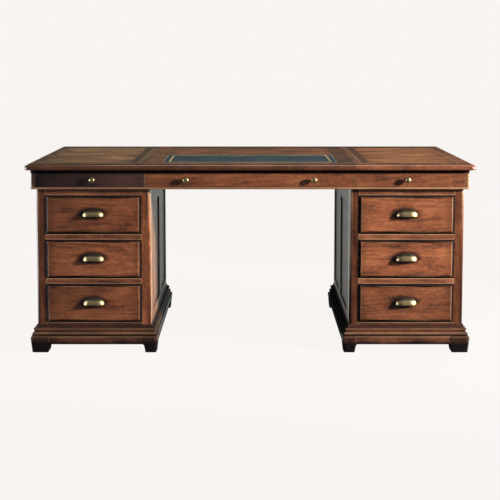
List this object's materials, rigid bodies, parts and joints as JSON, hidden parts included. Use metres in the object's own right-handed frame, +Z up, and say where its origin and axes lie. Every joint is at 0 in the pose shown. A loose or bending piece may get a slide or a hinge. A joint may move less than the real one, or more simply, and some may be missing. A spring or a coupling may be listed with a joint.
{
  "type": "partners desk",
  "caption": "Double-pedestal wooden partners desk with a moulded top, leather writing inset, sliding drawers with brass cup pulls and knobs, rear cupboard doors and bracket feet.",
  "frame": {"origin": "on the floor under the middle of the desk", "axes": "+X to the right seen from the front, +Y towards the rear, +Z up"},
  "size_m": [1.8, 0.9, 0.765],
  "materials": {
    "carcass_wood": "satin polish",
    "top_wood": "satin polish",
    "drawer_wood": "satin polish",
    "inner_wood": "bare, sealed",
    "writing_leather": "gilt tooled",
    "antique_brass": "aged satin",
    "screw_steel": "plain"
  },
  "bodies": {
    "carcass": {"base_mouldings": "carcass_wood", "bracket_feet": "carcass_wood", "corner_posts": "carcass_wood", "drawer_rails": "carcass_wood", "drawer_runners": "inner_wood", "fixing_screws": "screw_steel", "frieze_dividers": "inner_wood", "frieze_dust_board": "carcass_wood", "frieze_end_panels": "carcass_wood", "hinge_fixed_leaves": "antique_brass", "leather_writing_surface": "writing_leather", "pedestal_boards": "inner_wood", "plinth_boards": "carcass_wood", "side_panels": "drawer_wood", "side_rails": "carcass_wood", "top_center_section": "top_wood", "top_left_section": "top_wood", "top_right_section": "top_wood"},
    "left_bottom_drawer": {"left_bottom_drawer_front": "drawer_wood", "left_bottom_drawer_box": "inner_wood", "left_bottom_drawer_pull": "antique_brass"},
    "left_middle_drawer": {"left_middle_drawer_front": "drawer_wood", "left_middle_drawer_box": "inner_wood", "left_middle_drawer_pull": "antique_brass"},
    "left_top_drawer": {"left_top_drawer_front": "drawer_wood", "left_top_drawer_box": "inner_wood", "left_top_drawer_pull": "antique_brass"},
    "right_bottom_drawer": {"right_bottom_drawer_front": "drawer_wood", "right_bottom_drawer_box": "inner_wood", "right_bottom_drawer_pull": "antique_brass"},
    "right_middle_drawer": {"right_middle_drawer_front": "drawer_wood", "right_middle_drawer_box": "inner_wood", "right_middle_drawer_pull": "antique_brass"},
    "right_top_drawer": {"right_top_drawer_front": "drawer_wood", "right_top_drawer_box": "inner_wood", "right_top_drawer_pull": "antique_brass"},
    "front_left_frieze_drawer": {"front_left_frieze_drawer_front": "drawer_wood", "front_left_frieze_drawer_box": "inner_wood", "front_left_frieze_drawer_knobs": "antique_brass"},
    "front_center_frieze_drawer": {"front_center_frieze_drawer_front": "drawer_wood", "front_center_frieze_drawer_box": "inner_wood", "front_center_frieze_drawer_knobs": "antique_brass"},
    "front_right_frieze_drawer": {"front_right_frieze_drawer_front": "drawer_wood", "front_right_frieze_drawer_box": "inner_wood", "front_right_frieze_drawer_knobs": "antique_brass"},
    "rear_left_frieze_drawer": {"rear_left_frieze_drawer_front": "drawer_wood", "rear_left_frieze_drawer_box": "inner_wood", "rear_left_frieze_drawer_knobs": "antique_brass"},
    "rear_center_frieze_drawer": {"rear_center_frieze_drawer_front": "drawer_wood", "rear_center_frieze_drawer_box": "inner_wood", "rear_center_frieze_drawer_knobs": "antique_brass"},
    "rear_right_frieze_drawer": {"rear_right_frieze_drawer_front": "drawer_wood", "rear_right_frieze_drawer_box": "inner_wood", "rear_right_frieze_drawer_knobs": "antique_brass"},
    "left_door": {"left_door_frame": "carcass_wood", "left_door_panel": "drawer_wood", "left_door_hardware": "antique_brass"},
    "right_door": {"right_door_frame": "carcass_wood", "right_door_panel": "drawer_wood", "right_door_hardware": "antique_brass"}
  },
  "joints": [
    {"name": "left_bottom_drawer_slide", "type": "slide", "parent": "carcass", "child": "left_bottom_drawer", "axis": [0, -1, 0], "range_m": [0, 0.34]},
    {"name": "left_middle_drawer_slide", "type": "slide", "parent": "carcass", "child": "left_middle_drawer", "axis": [0, -1, 0], "range_m": [0, 0.34]},
    {"name": "left_top_drawer_slide", "type": "slide", "parent": "carcass", "child": "left_top_drawer", "axis": [0, -1, 0], "range_m": [0, 0.34]},
    {"name": "right_bottom_drawer_slide", "type": "slide", "parent": "carcass", "child": "right_bottom_drawer", "axis": [0, -1, 0], "range_m": [0, 0.34]},
    {"name": "right_middle_drawer_slide", "type": "slide", "parent": "carcass", "child": "right_middle_drawer", "axis": [0, -1, 0], "range_m": [0, 0.34]},
    {"name": "right_top_drawer_slide", "type": "slide", "parent": "carcass", "child": "right_top_drawer", "axis": [0, -1, 0], "range_m": [0, 0.34]},
    {"name": "front_left_frieze_drawer_slide", "type": "slide", "parent": "carcass", "child": "front_left_frieze_drawer", "axis": [0, -1, 0], "range_m": [0, 0.3]},
    {"name": "front_center_frieze_drawer_slide", "type": "slide", "parent": "carcass", "child": "front_center_frieze_drawer", "axis": [0, -1, 0], "range_m": [0, 0.3]},
    {"name": "front_right_frieze_drawer_slide", "type": "slide", "parent": "carcass", "child": "front_right_frieze_drawer", "axis": [0, -1, 0], "range_m": [0, 0.3]},
    {"name": "rear_left_frieze_drawer_slide", "type": "slide", "parent": "carcass", "child": "rear_left_frieze_drawer", "axis": [0, 1, 0], "range_m": [0, 0.3]},
    {"name": "rear_center_frieze_drawer_slide", "type": "slide", "parent": "carcass", "child": "rear_center_frieze_drawer", "axis": [0, 1, 0], "range_m": [0, 0.3]},
    {"name": "rear_right_frieze_drawer_slide", "type": "slide", "parent": "carcass", "child": "rear_right_frieze_drawer", "axis": [0, 1, 0], "range_m": [0, 0.3]},
    {"name": "left_door_hinge", "type": "hinge", "parent": "carcass", "child": "left_door", "pos_m": [-0.8215, 0.4153, 0.378], "axis": [0, 0, 1], "range_deg": [0, 110]},
    {"name": "right_door_hinge", "type": "hinge", "parent": "carcass", "child": "right_door", "pos_m": [0.8215, 0.4153, 0.378], "axis": [0, 0, -1], "range_deg": [0, 110]}
  ]
}
